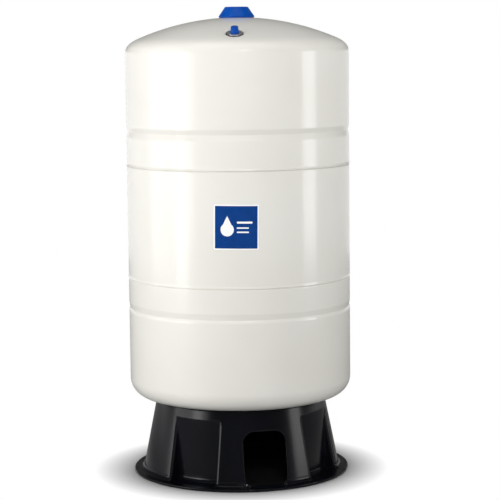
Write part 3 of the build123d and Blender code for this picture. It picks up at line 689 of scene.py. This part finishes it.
top_turn, foot_turn = outer_turn[:, :1], outer_turn[:, -1:]
ring = np.linspace(ring_inner, skirt_top - top_bend, 9)[None, :]
lean, seat_lean = np.arctan(skirt_slope), np.arcsin((skirt_top - top_bend) / seat_sphere)
middle_z = stand_top - bend_drop * top_bend
middle_r = cone_radius(middle_z) - top_bend / np.cos(lean)
swing_up = np.linspace(np.pi / 2 + seat_lean, lean, 9)[None, :]
flange_end = foot_radius - foot_edge
share = np.array([[0.1, 0.4, 0.7, 0.95]])
rim_turn = np.linspace(np.pi / 2, -np.pi / 2, 10)[None, :]
rim_z = np.where(rim_turn > 0, foot_thickness - foot_edge, foot_edge)
inner_foot = skin_radius(inner_x[:, :1], np.zeros(recessed.shape), recessed, 1)
kept = skin_z[0, inner_rows] < inner_top

# The section, block by block: seat ring, top bend, outer skin, flange with its rounded edge,
# underside, inner skin, and the underside of the seat ring
blocks = [
    rows(top_turn, ring, lower_crown_z - np.sqrt(seat_sphere**2 - ring**2)),
    rows(top_turn, middle_r + top_bend * np.cos(swing_up), middle_z + top_bend * np.sin(swing_up)),
    rows(outer_turn, outer_r, front_z),
    rows(foot_turn, outer_r[:, -1:] + share * (flange_end - outer_r[:, -1:]), foot_thickness),
    rows(foot_turn, flange_end + foot_edge * np.cos(rim_turn), rim_z + foot_edge * np.sin(rim_turn)),
    rows(foot_turn, flange_end + share * (inner_foot - flange_end), 0.0),
    rows(foot_turn, inner_foot, 0.0),
    rows(inner_turn[:, kept], inner_r[:, kept], inner_z[:, kept]),
]
inner_edge = skirt_top - wall_across + inner_widening
ring = np.linspace(inner_edge, ring_inner, 7)[None, :]
blocks.append(rows(top_turn, ring, lower_crown_z - np.sqrt(under_sphere**2 - ring**2)))
turn, radius, height = (np.concatenate(values, axis=1) for values in zip(*blocks))
count = turn.shape[1]
points = np.stack([radius * np.cos(turn), radius * np.sin(turn), height], axis=-1)
grid = np.arange(points.shape[0] * count).reshape(-1, count)
faces = ring_faces(points.shape[0], count)

# The window: its block of the grid is left out of both skins, and a rounded rim joins them
first_row = sum(block[0].shape[1] for block in blocks[:2])
row_high = int(np.argmin(np.abs(skin_z[0] - window_high - window_edge)))
row_low = int(np.argmin(np.abs(skin_z[0] - window_low + window_edge)))
first_inner = sum(block[0].shape[1] for block in blocks[:7])
edge_line = window_half + window_edge
left = [i for i, c in enumerate(columns) if c[3] and abs(c[1] + edge_line) < 1e-6][0]
to_right = [i for i, c in enumerate(columns) if c[3] and abs(c[1] - edge_line) < 1e-6][0]


def inner_row(row):
    """Row of the inner skin at the height of a row of the outer one."""
    return first_inner + skin_z.shape[1] - 1 - row


column, row = np.divmod(faces[:, 0], count)
in_columns = (column >= left) & (column < to_right)
in_outer = (row >= first_row + row_high) & (row < first_row + row_low)
in_inner = (row >= inner_row(row_low)) & (row < inner_row(row_high))
faces = faces[~(in_columns & (in_outer | in_inner))]
loop = [(i, row_high) for i in range(left, to_right)]
loop += [(to_right, k) for k in range(row_high, row_low)]
loop += [(i, row_low) for i in range(to_right, left, -1)]
loop += [(left, k) for k in range(row_low, row_high, -1)]
loop_i, loop_k = np.array(loop).T
edge_x, edge_z = front_x[loop_i, loop_k], front_z[loop_i, loop_k]
# Outward direction of the window's outline at each point of the rim
bend = np.where(edge_z > (window_low + window_high) / 2, window_bend, sill_bend)
from_x = np.sign(edge_x) * np.maximum(np.abs(edge_x) - window_half + bend, 0)
from_z = np.maximum(edge_z - window_high + window_bend, 0)
from_z = from_z - np.maximum(window_low + sill_bend - edge_z, 0)
from_x, from_z = from_x / np.hypot(from_x, from_z), from_z / np.hypot(from_x, from_z)
sweep_angle = np.linspace(0, np.pi / 2, 6)
back_off, sink = window_edge * np.sin(sweep_angle), window_edge * (1 - np.cos(sweep_angle))
steps = [(a, b, 0) for a, b in zip(back_off, sink)][1:]
steps += [(a, -b, 1) for a, b in zip(back_off, sink)][:0:-1]
along = np.array([np.cos(window_turn), np.sin(window_turn)])
aside = np.array([-along[1], along[0]])
rim_loops = [grid[loop_i, first_row + loop_k]]
new_points, next_number = [], points.shape[0] * count
for shift, down, inset in steps:
    x, z = edge_x - shift * from_x, edge_z - shift * from_z
    out = np.sqrt(skin_radius(x, z, 0, inset) ** 2 - x**2) - down
    new_points.append(np.column_stack([out[:, None] * along + x[:, None] * aside, z]))
    rim_loops.append(next_number + np.arange(len(x)))
    next_number += len(x)
rim_loops.append(grid[loop_i, inner_row(loop_k)])
for before, after in zip(rim_loops, rim_loops[1:]):
    strip = [before, np.roll(before, -1), np.roll(after, -1), after]
    faces = np.vstack([faces, np.stack(strip, axis=-1)])
points = np.vstack([points.reshape(-1, 3), *new_points])
mesh_piece(
    "moulded_stand", points, faces, polypropylene, "tank", "base_stand", 50.0
)

# Cap on the apex: blue polypropylene, a low cone with a straight rim, held on
# the boss below it by its inner collar.
cap_radius, cap_rim, cap_upper, cap_height, cap_wall = 31.25, 2.2, 19.8, 18.8, 2.0
cap_undercut = 1.1
boss_radius, collar_wall, collar_rise, cap_gap, running = 14.0, 1.8, 3.5, 0.3, 0.05

# Blue polypropylene, coloured through: a soft satin, as a textured mould leaves it
blue_plastic, tree, shader = material(
    "blue_polypropylene", Roughness=0.35, IOR=1.49, Specular_IOR_Level=0.15
)
place = mottle(tree, shader, 12.0, "#04469F", "#084CA8")
grain(tree, shader, place, 0.9, 0.01)
cap_z = upper_crown_z + np.sqrt((upper_crown + cap_gap) ** 2 - cap_radius**2)
inner_cap = cap_radius - cap_wall
cap_inner_z = upper_crown_z + np.sqrt((upper_crown + cap_gap) ** 2 - inner_cap**2)
cap_top = cap_z + cap_height
roof_z, collar = cap_top - cap_wall, boss_radius + running
section = rounded(
    [
        (0, cap_top),
        (cap_upper, cap_top),
        (cap_radius, cap_z + cap_rim),
        (cap_radius - cap_undercut, cap_z),
        (inner_cap - cap_undercut, cap_inner_z),
        (inner_cap, cap_z + cap_rim),
        (cap_upper - cap_wall, roof_z),
        (collar + collar_wall, roof_z),
        (collar + collar_wall, cap_z + collar_rise),
        (collar, cap_z + collar_rise),
        (collar, roof_z),
        (0, roof_z),
    ],
    # The radius of each inner corner in turn
    [2.6, 1.2, 0.3, 0.1, 0.5, 0.5, 0.1, 0.3, 0.3, 0.1],
)
turned_piece("apex_cap", section, 128, blue_plastic, "top_cap", "top_cap")

# Cap of the air valve: a small screw cap of the same blue plastic, with a
# flange at its foot and flutes for the fingers. It ends just over the plated
# nut and seals on the stem with a rubber disc under its roof.
seal_height, nut_height, stem_height, stem_radius = 1.2, 1.5, 7.9, 3.85
disc_height, small_roof, nut_gap = 1.2, 1.2, 0.1
small_top, small_foot, small_flange, flange_rise = 6.3, 6.7, 7.4, 1.5
flute_count, flute_depth, flute_start, flute_runout, flute_inner = 16, 0.5, 1.8, 0.6, 5.0
nut_top = seal_height + nut_height - seat_depth
stem_top = nut_top + stem_height
cap_foot, roof_level = nut_top + nut_gap, stem_top + disc_height + running
top_level = roof_level + small_roof
section = rounded(
    [
        (0, top_level),
        (small_top, top_level),
        (small_foot, cap_foot + flange_rise),
        (small_flange, cap_foot + flange_rise),
        (small_flange, cap_foot),
        (stem_radius + running, cap_foot),
        (stem_radius + running, roof_level),
        (0, roof_level),
    ],
    [1.1, 0.3, 0.3, 0.2, 0.2, 0.1],
)
turns = full_turn(flute_count * 10)
points = turned(section, turns)
# Between foot flange and top, the wall is drawn in by a narrow power of a cosine at each flute
outside = np.clip((section[:, 1] - cap_foot - flute_start) / flute_runout, 0, 1)
outside = outside * (section[:, 0] > flute_inner)
flutes = ((1 + np.cos(flute_count * turns)) / 2) ** 3
shrink = 1 - flute_depth * flutes[:, None] * outside / np.maximum(section[:, 0], 1)
points[..., :2] *= shrink[..., None]
valve_axes = np.stack([valve_side, valve_back, valve_out])
points = (points @ valve_axes + valve_foot).reshape(-1, 3)
faces = ring_faces(len(turns), len(section))
mesh_piece(
    "valve_cap_fluted", points, faces, blue_plastic, "valve_cap", "valve_cap"
)

# Pieces kept as they are modelled in the frame: the boss, the studs and their
# nuts, the water connection, the valve's own parts, the diaphragm and the
# liner. Only their finishes are given here.


def metal(name, dark, light, roughness, grain_mm, height_mm):
    """A bare or plated metal: soft blotches, and a fine grain that blurs what it mirrors."""
    made, tree, shader = material(name, Metallic=1.0, Roughness=roughness)
    place = mottle(tree, shader, 8.0, dark, light)
    noise = grain(tree, shader, place, grain_mm, height_mm)
    vary(tree, shader, noise, "Roughness", roughness * 0.8, roughness * 1.2)
    return made


def soft_stuff(name, dark, light, roughness, grain_mm, height_mm):
    """A rubber or a plain plastic: even in colour, with a fine grain that makes it matt."""
    made, tree, shader = material(name, Roughness=roughness)
    place = mottle(tree, shader, 25.0, dark, light)
    noise = grain(tree, shader, place, grain_mm, height_mm)
    vary(tree, shader, noise, "Roughness", roughness * 0.9, min(1.0, roughness * 1.1))
    return made


# Zinc plate gives a pale blue grey, stainless steel a plain one, nickel a warm white and brass
# yellow. The rubbers are a dull near black, the liner and the core's seal a milky white
zinc_plate = metal("zinc_plated_steel", "#B4B8BC", "#C6CACD", 0.35, 1.2, 0.01)
stainless = metal("turned_stainless_steel", "#B0B0AE", "#C2C2C0", 0.28, 0.8, 0.006)
nickel_plate = metal("nickel_plated_brass", "#DAD9D6", "#E6E5E2", 0.38, 1.5, 0.004)
brass = metal("turned_brass", "#C39A4E", "#D2AB5F", 0.28, 0.8, 0.005)
spring_wire = metal("spring_steel", "#9A9CA0", "#ACAEB2", 0.3, 0.5, 0.003)
seal_rubber = soft_stuff("seal_rubber", "#141414", "#1C1C1B", 0.75, 0.7, 0.02)
butyl = soft_stuff("butyl_rubber_sheet", "#181818", "#222120", 0.65, 2.5, 0.06)
liner_plastic = soft_stuff("polypropylene_liner", "#DAD9D4", "#E4E3DE", 0.5, 1.6, 0.03)
core_plastic = soft_stuff("core_seal_plastic", "#D8D6CE", "#E2E0D8", 0.45, 0.6, 0.008)
for finish, nodes in (
    (zinc_plate, ("apex_boss", "clamp_ring", "base_studs", "base_washers", "base_nuts")),
    (stainless, ("connection_body", "connection_washer", "connection_locknut")),
    (nickel_plate, ("valve_nut",)),
    (brass, ("valve_body", "core_barrel")),
    (spring_wire, ("core_pin",)),
    (seal_rubber, ("connection_o_ring", "valve_outer_seal", "valve_inner_seal", "cap_seal")),
    (butyl, ("diaphragm",)),
    (liner_plastic, ("liner",)),
    (core_plastic, ("core_seal",)),
):
    for node in nodes:
        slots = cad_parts[node].data.materials
        slots.clear()
        slots.append(finish)

# Spring of the valve core: steel wire wound to a coil, held between the
# floor of the core and the collar of its pin, and pressed together as far as
# the pin goes in.
wire_radius, coil_radius, coil_turns = 0.15, 1.2, 5
core_drop, core_length, core_floor = 1.5, 8.0, 1.0
coil_foot, coil_height, pin_travel = stem_top - core_drop - core_length + core_floor, 5.3, 1.5

# Its middle line climbs evenly as it winds, and a circle in the plane through the axis is
# carried along it. A circle of no radius closes each end
wind = np.linspace(0, coil_turns * 2 * np.pi, coil_turns * 32 + 1)
wind = np.concatenate([wind[:1], wind, wind[-1:]])[:, None]
thickness = np.full(wind.shape, wire_radius)
thickness[[0, -1]] = 0
across_wire = full_turn(10)[None, :]
out = coil_radius + thickness * np.cos(across_wire)
level = coil_foot + wire_radius + (coil_height - 2 * wire_radius) * wind / wind[-1]
level = level + thickness * np.sin(across_wire)
points = np.stack([out * np.cos(wind), out * np.sin(wind), level], axis=-1)
points = (points @ valve_axes + valve_foot).reshape(-1, 3)
faces = ring_faces(*out.shape)[: -out.shape[1]]
spring = mesh_piece(
    "coil_spring", points, faces, spring_wire, "tank", "core_spring"
)
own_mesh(spring)

# Studio: a round floor of paper, with a painted shade right under the stand, grey
# near it and plain white to the eye further out, a white horizon under a dim ceiling, and soft
# lamps.
floor_rings, floor_drop = (0.15, 0.4, 0.8, 1.6, 3.2), 0.0003
angle = full_turn(96)
across, along = np.outer(np.cos(angle), floor_rings), np.outer(np.sin(angle), floor_rings)
floor_points = np.stack([across, along, np.full(across.shape, -floor_drop)], axis=-1)
number = np.arange(across.size).reshape(across.shape)
after = np.roll(number, -1, axis=0)
quads = np.stack([number[:, :-1], number[:, 1:], after[:, 1:], after[:, :-1]], axis=-1)
faces = quads.reshape(-1, 4).tolist() + [number[:, 0].tolist()]
floor_mesh = bpy.data.meshes.new("floor")
floor_mesh.from_pydata(floor_points.reshape(-1, 3), [], faces)
floor = bpy.data.objects.new("floor", floor_mesh)
bpy.context.scene.collection.objects.link(floor)

# The paper's colour, by the distance from the tank's axis in metres. Inside the stand it is a
# painted shade, a dark grey that stands in for the shadow the tank casts there. Round the stand
# the paper is mid grey, so that little light comes back up under the bowl
painted_shade_and_paper_greys = ((0.165, "#181818"), (0.19, "#B0B0B0"), (0.3, "#A0A0A0"), (0.5, "#7C7C7C"))
paper, tree, shader = material("studio_paper", Roughness=0.9)
place = add(tree, "TexCoord").outputs["Object"]
far = add(tree, "VectorMath", [("Vector", place)], operation="LENGTH").outputs["Value"]
shade = add(tree, "ValToRGB", [("Fac", far)])
stops = shade.color_ramp.elements
stops[0].color, stops[-1].color = linear(painted_shade_and_paper_greys[0][1]), linear(painted_shade_and_paper_greys[-1][1])
for where, colour in painted_shade_and_paper_greys:
    stops.new(where).color = linear(colour)
tree.links.new(shade.outputs["Color"], shader.inputs["Base Color"])

# Past the stand's shadow the camera sees the paper as plain white. Reflections see it grow
# white only slowly with distance, because a white floor would veil the dark stand
eye_fade, mirror_fade = (0.19, 0.26), (0.4, 7.0)
seen = add(tree, "LightPath").outputs
mirrored = [(0, seen["Is Glossy Ray"]), (1, seen["Is Transmission Ray"])]
either = add(tree, "Math", mirrored, operation="MAXIMUM")
near_fade, far_fade = (
    add(tree, "MapRange", [("Value", far)], From_Min=start, From_Max=end).outputs["Result"]
    for start, end in (eye_fade, mirror_fade)
)
direct = add(tree, "Math", [(0, near_fade), (1, seen["Is Camera Ray"])], operation="MULTIPLY")
echoed = add(tree, "Math", [(0, far_fade), (1, either.outputs[0])], operation="MULTIPLY")
shown = add(tree, "Math", [(0, direct.outputs[0]), (1, echoed.outputs[0])], operation="MAXIMUM")
white = add(tree, "Emission", Color=(1, 1, 1, 1), Strength=1.0)
parts = [(0, shown.outputs[0]), (1, shader.outputs[0]), (2, white.outputs[0])]
blend = add(tree, "MixShader", parts)
output = [node for node in tree.nodes if node.type == "OUTPUT_MATERIAL"][0]
tree.links.new(blend.outputs[0], output.inputs["Surface"])
floor_mesh.materials.append(paper)

# The surroundings are white up to just over the horizon and dim above, the same for every
# ray: in the world's shader the object coordinates are the direction that a ray comes from
white_rise, dim_rise, dim_level = 0.03, 0.05, 0.09
world = bpy.data.worlds.new("studio")
bpy.context.scene.world = world
world.use_nodes = True
tree = world.node_tree
tree.nodes.clear()
way = add(tree, "SeparateXYZ", [("Vector", add(tree, "TexCoord").outputs["Object"])])
slope = {"From_Min": white_rise, "From_Max": dim_rise, "To_Min": 1.0, "To_Max": dim_level}
level = add(tree, "MapRange", [("Value", way.outputs["Z"])], **slope).outputs["Result"]
surroundings = add(tree, "Background", [("Strength", level)], Color=(1, 1, 1, 1))
add(tree, "OutputWorld", [("Surface", surroundings.outputs[0])])


def lamp(name, turn, distance, height, width, tall, watts, aim=0.42):
    """A soft box that stands at an angle from the front, positive to the right, and looks
    at the tank's axis at the height of aim."""
    data = bpy.data.lights.new(name, "AREA")
    data.shape, data.size, data.size_y, data.energy = "RECTANGLE", width, tall, watts
    made = bpy.data.objects.new(name, data)
    bpy.context.scene.collection.objects.link(made)
    turn = np.radians(turn)
    spot = Vector((distance * np.sin(turn), -distance * np.cos(turn), height))
    view = Vector((0, 0, aim)) - spot
    facing = view.to_track_quat("-Z", "Y").to_matrix().to_4x4()
    made.matrix_world = Matrix.Translation(spot) @ facing
    return made


# The boxes at the sides model the shell's roundness, and the two narrow ones give its upright
# highlights. Only the lower half of each shows in reflections: the glare of the upper half
# would hide the dome's outline against the white
for name, turn, distance, middle, width, tall, watts in (
    ("left_soft_box", -57, 2.3, 0.95, 0.5, 1.85, 11.3),
    ("left_wall", -70, 2.8, 0.97, 2.8, 1.9, 42.0),
    ("right_soft_box", 76, 2.3, 0.97, 0.65, 1.7, 16.3),
):
    lamp(name, turn, distance, middle - tall / 4, width, tall / 2, watts / 2)
    top = lamp(name + "_top", turn, distance, middle + tall / 4, width, tall / 2, watts / 2)
    top.visible_glossy = False

# Front and back walls fill the shadows. Neither shows in reflections, where both would veil
# the dark stand. The lamp overhead lights the dome, and the flash gives small sharp glints
lamp("front_wall", 0, 3.6, 1.35, 2.4, 1.8, 52).visible_glossy = False
lamp("back_wall", 168, 3.1, 2.4, 2.6, 2.0, 62).visible_glossy = False
lamp("overhead", -8, 0.3, 2.6, 1.8, 1.4, 11)
lamp("flash", 10, 3.0, 2.2, 0.22, 0.25, 9)

bpy.context.scene.view_settings.view_transform = "Standard"
